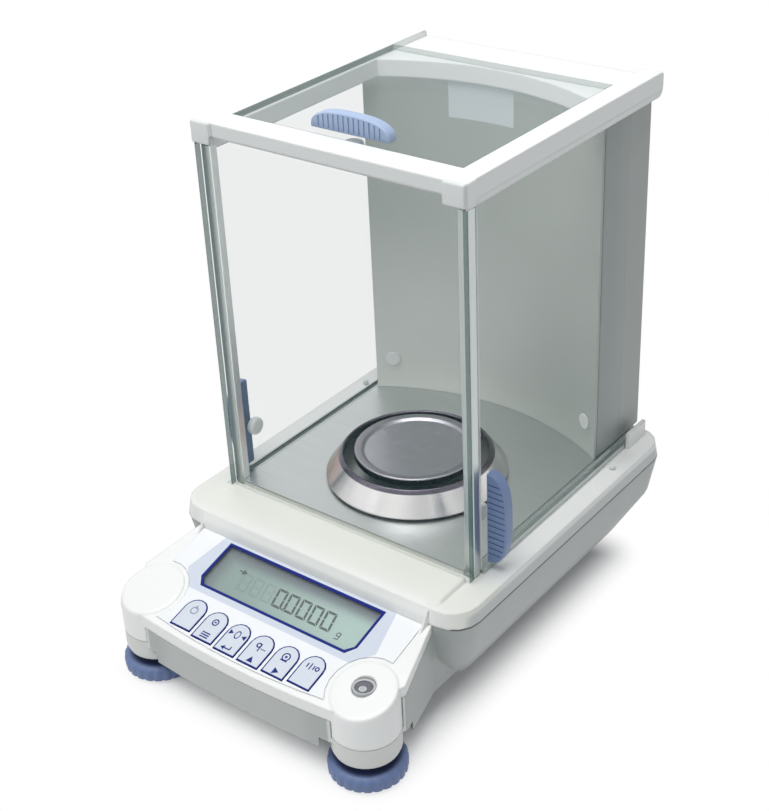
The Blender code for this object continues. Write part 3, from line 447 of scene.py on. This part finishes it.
for index in range(1, 7):
    name = "key_%d" % index
    low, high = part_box(name)
    half, length = (high.x - low.x) / 2, (high.y - low.y) / 2
    key = Finish(name + "_film", 0.42, Specular_IOR_Level=0.15)
    u, v = key.x - (low.x + high.x) / 2, key.y - (low.y + high.y) / 2
    rim = (reach(u, (v - (length - half)).most(0.0)) - half).most(-length - v)
    paint = tone("8C98B4") if index == 1 else ink_blue
    face = key.mix(key.noise(240.0, 2.0), tone("DDE3EC"), tone("D5DCE6"))
    face = key.mix(key_symbols(index, u, v).ramp(0.00015, -0.00015), face, paint)
    key.set("Base Color", key.mix(rim.ramp(-0.0009, -0.0006), face, ink_blue))
    key.relief(key.noise(1500.0, 1.0), 0.00001)
    dress(key, name)


# Display: a clear acrylic window over a grey-green liquid crystal panel. Slanted
# seven-segment figures show a zero reading. The panel is painted lighter towards the right,
# and the rear and left margins are painted in shade.
digit_pitch, digit_half, digit_height, digit_stroke = 0.0091, 0.0030, 0.0055, 0.00088
digit_first, digit_middle, digit_lean = -0.0058, window_low.y + 0.0152, -0.22
ink_edge, ghost_share = 0.0002, 0.24
lcd = Finish("crystal_panel", 0.35, Specular_IOR_Level=0.2)
lean_x = lcd.x - (lcd.y - digit_middle) * digit_lean
digit_v = abs(lcd.y - digit_middle)


def figures(count, first, middle_bar=False):
    """Ink of a row of figures from the middle of the first, with gaps between segments."""
    row = (lean_x - first) / digit_pitch + 0.5
    u = abs((row.math("FRACT") - 0.5) * digit_pitch)
    outer = (u - digit_half).most(digit_v - digit_height)
    inked = abs(outer).ramp(digit_stroke, digit_stroke - ink_edge)
    if middle_bar:
        across_middle = u.ramp(digit_half, digit_half - ink_edge)
        inked = inked.most(digit_v.ramp(digit_stroke, digit_stroke - ink_edge) * across_middle)
    corner = abs((u - digit_half) - (digit_v - digit_height)).ramp(0.0001, 0.0004)
    inked = inked * corner * digit_v.ramp(0.0001, 0.0004)
    return inked * row.math("GREATER_THAN", 0.0) * row.math("LESS_THAN", float(count))


unit_x, unit_y = 0.0420, digit_middle - 0.0048
point_x, point_y = digit_first + digit_pitch / 2, digit_middle - digit_height
point = reach(lean_x - point_x, lcd.y - point_y).ramp(0.0008, 0.0006)
unit = nearest([ring_of(lcd.x, lcd.y, unit_x, unit_y, 0.0012, 0.0003),
                bar(lcd.x, lcd.y, unit_x + 0.0012, unit_y - 0.0010, 0.0003, 0.0023),
                bar(lcd.x, lcd.y, unit_x, unit_y - 0.0031, 0.0013, 0.0003),
                triangle(lcd.x, lcd.y, -0.0385, digit_middle + 0.0058, 0.0024, 0),
                bar(lcd.x, lcd.y, -0.0408, digit_middle + 0.0058, 0.0016, 0.0004)]).ramp(0.0001, -0.0001)
ink = figures(5, digit_first).most(point).most(unit)
ghost = figures(3, digit_first - 3 * digit_pitch, True) * ghost_share
# Painted light: the panel lightens from left to right.
glass_tone = lcd.mix(lcd.x.ramp(-0.050, 0.055), tone("8EA19C"), tone("B7CDC7"))
# Painted shade along the rear and left margins.
shadow = lcd.y.ramp(window_high.y - 0.0110, window_high.y - 0.0010).most(
    (-lcd.x).ramp(window_half - 0.0150, window_half - 0.0010) * 0.8)
glass_tone = lcd.mix(shadow, glass_tone, tone("686E79"))
glass_tone = lcd.mix(ghost, glass_tone, tone("5C6A66"))
lcd.set("Base Color", lcd.mix(ink, glass_tone, tone("38423F")))
lcd.relief(lcd.noise(900.0, 1.0), 0.00001)
dress(lcd, "lcd_module")

pane = Finish("acrylic_window", 0.06)
pane.set("Base Color", pane.mix(pane.noise(30.0), tone("D3E2DC"), tone("DDE9E4")))
pane.set("Alpha", 0.08)
dress(pane, "lcd_window")


# Bubble level: a grey moulded collar pressed into the right tower, round a clear vial
# of spirit. Its bubble is a pale disc, with a painted highlight for its bright rim.
dress(moulded("level_collar", "C4C7C9", "B7BABC", 0.36, 0.0005), "level_bezel")
vial_low, vial_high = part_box("level_vial")
vial = Finish("level_fluid", 0.08, Coat_Weight=1.0, Coat_Roughness=0.03)
bubble = (vial_low + vial_high) / 2 + Vector((0.0002, -0.0014, 0.0))
from_bubble = reach(vial.x - bubble.x, vial.y - bubble.y)
fluid = vial.mix(from_bubble.ramp(0.0016, 0.0024), tone("B4B7BC"), tone("5C5B66"))
# Painted highlight: the bright ring round the bubble.
vial.set("Base Color", vial.mix(abs(from_bubble - 0.0019).ramp(0.0004, 0.0001), fluid, tone("D4D6DA")))
dress(vial, "level_vial")


# Levelling feet: blue-grey moulded grip wheels with a lobed rim on threaded studs, and
# pads of black rubber under them and under the rear of the case. The wheels' tops under
# the towers carry a painted shadow in dark navy.
grip_tones = ("7B90B8", "6E83AC")
wheel_profile = ((0.0, 0.0), (0.0162, 0.0), (0.0172, -0.0018), (0.0216, -0.0018), (0.0226, -0.0010),
                 (0.0228, 0.0032), (0.0226, 0.0050), (0.0216, 0.0064), (0.0196, 0.0074), (0.0165, 0.0081),
                 (0.0040, 0.0083), (0.0040, 0.0196), (0.0035, 0.0200), (0.0, 0.0200))
lobe_count, lobe_depth_share, rim_share = 24, 0.966, 0.94
rim_radius = rim_share * max(radius for radius, height in wheel_profile)


def spun(name, profile, centre, steps=96, rounding=0.0):
    """Draw a profile of (radius, height) point by point and spin it round an upright axis."""
    (radius, height), *others = profile
    bpy.ops.object.select_all(action="DESELECT")
    bpy.ops.mesh.primitive_plane_add(size=0.002, location=(centre.x + radius, centre.y, centre.z + height))
    bpy.ops.object.transform_apply(location=True, rotation=True, scale=True)
    piece = bpy.context.object
    piece.name = name
    edit(piece)
    bpy.ops.mesh.merge(type="CENTER")
    for next_radius, next_height in others:
        step = (next_radius - radius, 0.0, next_height - height)
        bpy.ops.mesh.extrude_vertices_move(TRANSFORM_OT_translate={"value": step})
        radius, height = next_radius, next_height
    bpy.ops.mesh.select_all(action="SELECT")
    bpy.ops.mesh.spin(steps=steps, angle=2 * math.pi, center=centre, axis=(0.0, 0.0, 1.0))
    bpy.ops.mesh.select_all(action="SELECT")
    bpy.ops.mesh.remove_doubles(threshold=0.000001)
    bpy.ops.mesh.normals_make_consistent(inside=False)
    bpy.ops.object.mode_set(mode="OBJECT")
    if rounding:
        apply("BEVEL", width=rounding, segments=2, limit_method="ANGLE", angle_limit=math.radians(24))
    return piece


def choose(piece, test):
    """In edit mode, select only the vertices whose place passes a test."""
    mesh = bmesh.from_edit_mesh(piece.data)
    for vertex in mesh.verts:
        vertex.select = test(vertex.co)
    mesh.select_flush_mode()
    bmesh.update_edit_mesh(piece.data)


def foot_of(node):
    """The middle of a node in plan, at its lowest height."""
    low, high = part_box(node)
    return Vector(((low.x + high.x) / 2, (low.y + high.y) / 2, low.z))


def in_valley(place):
    """Whether a place from the wheel's axis lies on the rim midway between two lobes."""
    turn = math.atan2(place.y, place.x) * lobe_count / (2 * math.pi)
    return math.hypot(place.x, place.y) > rim_radius and abs(turn - round(turn)) < 0.1


foot_finish = moulded("foot_abs", "6C81AC", "6175A1", 0.50, 0.0006)
# Painted shadow: the part of each wheel under its tower is dark navy.
tower_painted_shadow = reach(abs(foot_finish.x) - tower_x, foot_finish.y - tower_y).ramp(0.0208, 0.0172)
foot_tone = foot_finish.mix(foot_finish.noise(38.0, 3.0), tone("6C81AC"), tone("6175A1"))
foot_finish.set("Base Color", foot_finish.mix(tower_painted_shadow, foot_tone, tone("1F2B55")))
for node in ("foot_wheel_left", "foot_wheel_right"):
    middle = foot_of(node)
    wheel = spun(node + "_grip", wheel_profile, middle)
    edit(wheel)
    choose(wheel, lambda place: in_valley(place - middle))
    bpy.ops.transform.resize(value=(lobe_depth_share, lobe_depth_share, 1.0), center_override=middle)
    shade(50)
    stand_for(wheel, foot_finish, node)
rubber = moulded("foot_rubber", "2B2C2F", "242528", 0.80, 0.0008, 1400.0)
dress(rubber, "foot_pad_left", "foot_pad_right", "rear_foot_left", "rear_foot_right")


# Chamber floor: a plate of satin stainless sheet laid in the cover's well, with its
# rolling marks running from side to side.
floor_steel = Finish("satin_steel", 0.34, 1.0)
grain = floor_steel.noise(900.0, 3.0, (0.02, 1.0, 1.0))
floor_steel.set("Base Color", floor_steel.mix(grain, tone("D2D6D5"), tone("C2C7C7")))
floor_steel.set("Roughness", grain * 0.12 + 0.32)
floor_steel.relief(grain, 0.00001)
dress(floor_steel, "floor_plate")


# Rear wall of the chamber: a curved sheet in satin paint, with a blank pale patch
# where a label sits on the real one. Two plugs close its lower holes. Painted light
# brightens its top edge and a pool at its lower left.
patch_x, patch_z, patch_half, patch_rise = -0.0125, 0.2920, 0.0228, 0.0118
wall = Finish("wall_paint", 0.45)
patch = (abs(wall.x - patch_x) - patch_half).most(abs(wall.z - patch_z) - patch_rise)
wall_tone = wall.mix(wall.noise(22.0, 3.0), tone("BEC4BE"), tone("B6BCB6"))
# Painted light along the top edge.
wall_tone = wall.mix(wall.z.ramp(0.296, 0.306), wall_tone, tone("DDE4E0"))
# Painted pool of light over the lower left.
wall_tone = wall.mix(wall.z.ramp(0.230, 0.110) * wall.x.ramp(0.060, -0.050) * 0.8, wall_tone, tone("E8EAE4"))
wall.set("Base Color", wall.mix(patch.ramp(0.0002, -0.0002), wall_tone, tone("DDE3E4")))
wall.set("Roughness", wall.noise(300.0, 2.0) * 0.10 + 0.38)
wall.relief(wall.noise(1800.0, 2.0), 0.00002)
skin("chamber_rear_wall", wall)


# Small white mouldings: plugs pushed into the wall's holes, stop pegs on the case top,
# and the domed knobs screwed to the inner side of the door handles.
knob_finish = moulded("knob_abs", "EDEFEE", "E6E9E8", 0.34, 0.0008)
for node in ("wall_button_left", "wall_button_right", "door_knob_left", "door_knob_right", "top_door_knob",
             "door_stop_left", "door_stop_right"):
    skin(node, knob_finish, 50)


# Rear housing: a folded and painted sheet box behind the chamber, screwed to the lower
# case. Its board carries a moulded power jack and a tinned serial port.
skin("rear_housing", moulded("column_paint", "A9AFAC", "A1A7A4", 0.46, 0.0010, 2200.0))
skin("dc_jack", moulded("socket_plastic", "1C1D1F", "17181A", 0.5))
port = Finish("tinned_shell", 0.28, 1.0)
port.set("Base Color", port.mix(port.noise(400.0, 3.0), tone("C3C5C6"), tone("A9ABAD")))
dress(port, "serial_port")
board = Finish("board_mask", 0.4)
board.set("Base Color", board.mix(board.noise(500.0, 4.0), tone("1E5A36"), tone("174A2C")))
dress(board, "main_board", "display_board")


# Top frame: one white ABS moulding that ties the posts to the rear housing, with a
# square cap over each post and rails that carry the top door. Its front face is painted in shade.
front_edge, front_painted_shade_share = (-0.0455, -0.0466), 0.8
frame_finish = moulded("frame_abs", "F2F4F2", "EDF0EE", 0.40, 0.0016)
# Painted shade on the front face.
front_painted_shade = frame_finish.y.ramp(*front_edge) * front_painted_shade_share
frame_finish.set("Base Color", frame_finish.mix(front_painted_shade, tone("F3F5F3"), tone("DBDEDC")))
skin("top_frame", frame_finish)


# Glass: clear float panes with ground and polished edges, dark green end on. The front
# one is held in the posts, and the doors slide in the tracks and the frame's rails.
# The right door's edge is a painted highlight, near white.
bare_sides = {"front_glass": "xX", "top_door": "xXyY", "side_door_left": "y", "side_door_right": "y"}
glass_alpha, rim_alpha, top_rim_alpha = 0.048, 0.72, 0.34


def glass_finish(node):
    """Clear glass, darker within half a millimetre of a pane's bare sides: x low, X high; on the right door
    that edge is a near-white painted highlight.
    """
    low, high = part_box(node)
    finish = Finish(node + "_glass", 0.03, IOR=1.5)
    gaps = []
    for side in bare_sides[node]:
        axis = side.lower()
        corner = low if side == axis else high
        gaps.append(abs(getattr(finish, axis) - getattr(corner, axis)))
    rim = nearest(gaps).ramp(0.0005, 0.0002)
    # Painted highlight: the right door's edge is near white.
    rim_tone = tone("F6F9F9" if node == "side_door_right" else "42706B")
    finish.set("Base Color", finish.mix(rim, tone("648C8F"), rim_tone))
    finish.set("Alpha", rim * (top_rim_alpha if node == "top_door" else rim_alpha) + glass_alpha)
    finish.set("Roughness", finish.noise(12.0) * 0.02 + 0.02)
    return finish


for name in bare_sides:
    dress(glass_finish(name), name)


# Posts and tracks: satin anodised aluminium extrusions, the posts set in the cover and
# the frame's caps, the tracks let into the cover. The posts' inner faces carry a near-white painted
# reflection.
painted_reflection_face = (0.0850, 0.0847)
extrusion = Finish("anodised", 0.3, 1.0)
streak = extrusion.noise(1200.0, 2.0, (1.0, 1.0, 0.02))
bare = extrusion.mix(streak, tone("C9CFCE"), tone("B6BDBC"))
# Painted reflection: the posts' inner faces are near white.
extrusion.set("Base Color", extrusion.mix(abs(extrusion.x).ramp(*painted_reflection_face), bare, tone("FBFDFD")))
extrusion.set("Roughness", streak * 0.15 + 0.22)
extrusion.relief(streak, 0.00001, 0.0004)
dress(extrusion, "corner_post_left", "corner_post_right", "door_track_left", "door_track_right")


# Handles: blue-grey ABS grips, each a flattened arch with fine ribs sunk across both
# faces, screwed through the door's glass to the knob on its other side. The top one is
# painted lighter, as painted light from above.
grip_finish = moulded("grip_abs", *grip_tones, 0.44)
rib_count, rib_width, rib_sink, rib_margin, rib_span_share = 13, 0.0014, 0.0006, 0.0002, 0.84
grip_edge, fullness = 0.0010, 0.72


def arch(name, node, finish, along, out, across_axis):
    """A full half ellipse on its foot, extruded to the grip's width, ribbed on both faces."""
    low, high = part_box(node)
    middle = (low + high) / 2
    size = high - low
    foot = low[out] if abs(low[out]) < abs(high[out]) else high[out]
    start = Vector(middle)
    start[out], start[across_axis] = foot, low[across_axis]
    turn = {0: (0.0, math.pi / 2, 0.0), 1: (math.pi / 2, 0.0, 0.0), 2: (0.0, 0.0, 0.0)}[across_axis]
    bpy.ops.object.select_all(action="DESELECT")
    bpy.ops.mesh.primitive_circle_add(vertices=64, radius=1.0, fill_type="NGON", location=start,
                                      rotation=turn)
    bpy.ops.object.transform_apply(location=True, rotation=True, scale=True)
    piece = bpy.context.object
    piece.name = name
    edit(piece)
    scale = Vector((1.0, 1.0, 1.0))
    scale[along], scale[out] = size[along] / 2, size[out]
    bpy.ops.transform.resize(value=scale, center_override=start)
    away = Vector((0.0, 0.0, 0.0))
    away[out] = math.copysign(1.0, middle[out] - foot)
    bpy.ops.mesh.select_all(action="SELECT")
    bpy.ops.mesh.bisect(plane_co=start, plane_no=away, use_fill=False, clear_inner=True)
    mesh = bmesh.from_edit_mesh(piece.data)
    for vertex in mesh.verts:
        aside = vertex.co[along] - middle[along]
        share = abs(aside) / (size[along] / 2)
        vertex.co[along] = middle[along] + math.copysign(share ** fullness * size[along] / 2, aside)
        share = abs(vertex.co[out] - foot) / size[out]
        vertex.co[out] = foot + away[out] * share ** fullness * size[out]
    bmesh.update_edit_mesh(piece.data)
    bpy.ops.mesh.select_all(action="SELECT")
    shift = Vector((0.0, 0.0, 0.0))
    shift[across_axis] = size[across_axis]
    bpy.ops.mesh.extrude_region_move(TRANSFORM_OT_translate={"value": shift})
    bpy.ops.mesh.select_all(action="SELECT")
    bpy.ops.mesh.normals_make_consistent(inside=False)
    bpy.ops.object.mode_set(mode="OBJECT")
    apply("BEVEL", width=grip_edge, segments=3, limit_method="ANGLE", angle_limit=math.radians(50))
    edit(piece)
    step = size[along] * rib_span_share / rib_count
    last_rib = rib_count - 1
    cut_at, plane = Vector(middle), Vector((0.0, 0.0, 0.0))
    plane[along] = 1.0
    for index in range(rib_count):
        for side in (-1, 1):
            cut_at[along] = middle[along] + step * (index - last_rib / 2) + side * rib_width / 2
            bpy.ops.mesh.select_all(action="SELECT")
            bpy.ops.mesh.bisect(plane_co=cut_at, plane_no=plane)
    mesh = bmesh.from_edit_mesh(piece.data)
    for face in mesh.faces:
        place = (face.calc_center_median()[along] - middle[along]) / step + last_rib / 2
        on_rib = abs(place - round(place)) < rib_width / step * 0.45 and -0.4 < place < last_rib + 0.4
        face.select_set(on_rib and abs(face.normal[across_axis]) > 0.99)
    bmesh.update_edit_mesh(piece.data)
    bpy.ops.mesh.inset(thickness=rib_margin, use_individual=True)
    bpy.ops.mesh.extrude_region_shrink_fatten(TRANSFORM_OT_shrink_fatten={"value": -rib_sink})
    shade(40)
    stand_for(piece, finish, node)


arch("side_grip_left", "side_handle_left", grip_finish, 2, 0, 1)
arch("side_grip_right", "side_handle_right", grip_finish, 2, 0, 1)
# Painted light: the top grip is a lighter copy of the same blue-grey plastic.
arch("top_grip", "top_handle", moulded("top_grip_abs", "AEC0DE", "A2B5D6", 0.44), 0, 2, 1)


# Pan and guard ring: spun stainless steel with fine turning lines round the upright
# axis. The pan drops on the spindle by its hub, and the ring stands on the floor plate.
# Both carry painted reflections and painted shade in their colour.
pan_low, pan_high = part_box("weighing_pan")
pan_centre = (pan_low + pan_high) / 2
ring_low, ring_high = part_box("draft_ring")
pan_profile = ((0.0, -0.0018), (0.0327, -0.0018), (0.0345, -0.0004), (0.0384, 0.0), (0.0390, -0.0006),
               (0.0390, -0.0050), (0.0378, -0.0050), (0.0378, -0.0024), (0.0345, -0.0030), (0.0085, -0.0030),
               (0.0085, -0.0080), (0.0053, -0.0080), (0.0053, -0.0042), (0.0, -0.0042))
ring_profile = ((0.0472, 0.0157), (0.0491, 0.0134), (0.0574, 0.0020), (0.0574, 0.0), (0.0562, 0.0),
                (0.0562, 0.0018), (0.0482, 0.0127), (0.0464, 0.0146), (0.0462, 0.0112), (0.0456, 0.0112),
                (0.0456, 0.0148), (0.0462, 0.0157), (0.0472, 0.0157))


def spun_steel(name, light, dark, roughness, lines):
    """Steel with fine turning lines; gives the finish, the radius and the clouded tone."""
    finish = Finish(name, roughness, 1.0)
    radius = reach(finish.x - pan_centre.x, finish.y - pan_centre.y)
    groove = (radius * lines).math("SINE") * 0.5 + 0.5
    cloud = finish.noise(120.0, 3.0)
    finish.set("Roughness", groove * 0.05 + cloud * 0.08 + (roughness - 0.06))
    finish.relief(groove, 0.0000006, 0.0008)
    return finish, radius, finish.mix(cloud, tone(light), tone(dark))


pan_finish, pan_radius, pan_tone = spun_steel("pan_steel", "BEBDC5", "ADACB4", 0.30, 9000.0)
# Painted reflection: a darker band on the pan's sloping rim.
pan_tone = pan_finish.mix(pan_radius.ramp(0.0325, 0.0335), pan_tone, tone("A2A1A8"))
# Painted shade on the skirt under the rim.
under_rim_shade = (pan_high.z - pan_finish.z).ramp(0.0008, 0.0014) * pan_radius.ramp(0.0380, 0.0388)
pan_finish.set("Base Color", pan_finish.mix(under_rim_shade, pan_tone, tone("57525C")))
top_of_pan = Vector((pan_centre.x, pan_centre.y, pan_high.z))
pan = spun("pan_dish", pan_profile, top_of_pan, 128, 0.0003)
edit(pan)
shade(30)
stand_for(pan, pan_finish, "weighing_pan")

ring_finish, ring_radius, ring_tone = spun_steel("ring_steel", "F4F2F1", "EBE9E8", 0.22, 5000.0)
ring_turn = (ring_finish.y - pan_centre.y).math("ARCTAN2", ring_finish.x - pan_centre.x)
# Painted reflection: stripes of light and grey round the ring.
painted_sheen = (ring_turn * 7.0 + 0.6).math("SINE") * (ring_turn * 3.0 - 1.0).math("SINE") * 0.5 + 0.5
ring_tone = ring_finish.mix(painted_sheen * 0.75, ring_tone, tone("A9A7A9"))
# Painted shadow along the ring's foot.
ring_tone = ring_finish.mix((ring_finish.z - ring_low.z).ramp(0.0018, 0.0012), ring_tone, tone("3B383F"))
# Painted reflection: a brown patch at the left.
brown_reflection = abs(ring_turn + 2.50).ramp(0.50, 0.10)
ring_tone = ring_finish.mix(brown_reflection * 0.85, ring_tone, tone("9A7C6E"))
# Painted reflection: a dark band on the upper bevel.
ring_tone = ring_finish.mix(ring_radius.ramp(0.0493, 0.0489), ring_tone, tone("66616C"))
ring_finish.set("Base Color", ring_tone)
ring = spun("ring_wall", ring_profile, Vector((pan_centre.x, pan_centre.y, ring_low.z)), 128, 0.0003)
edit(ring)
shade(30)
stand_for(ring, ring_finish, "draft_ring")


# Inside the case: the weigh cell, machined from one block of aluminium on the chassis
# plate, the spindle on its moving end, a plated magnet can behind it, and the screws.
cast = Finish("cast_metal", 0.45, 1.0)
cast.set("Base Color", cast.mix(cast.noise(300.0, 4.0), tone("B9BBBC"), tone("9C9EA0")))
cast.relief(cast.noise(1500.0, 3.0), 0.00004)
dress(cast, "pan_spindle", "chassis_plate", "weigh_cell")
plated = Finish("plated_steel", 0.30, 1.0)
plated.set("Base Color", plated.mix(plated.noise(500.0, 3.0), tone("A4A6A9"), tone("8C8F92")))
dress(plated, "magnet_can", "case_screw_front_left", "case_screw_front_right", "case_screw_rear_left",
      "case_screw_rear_right")
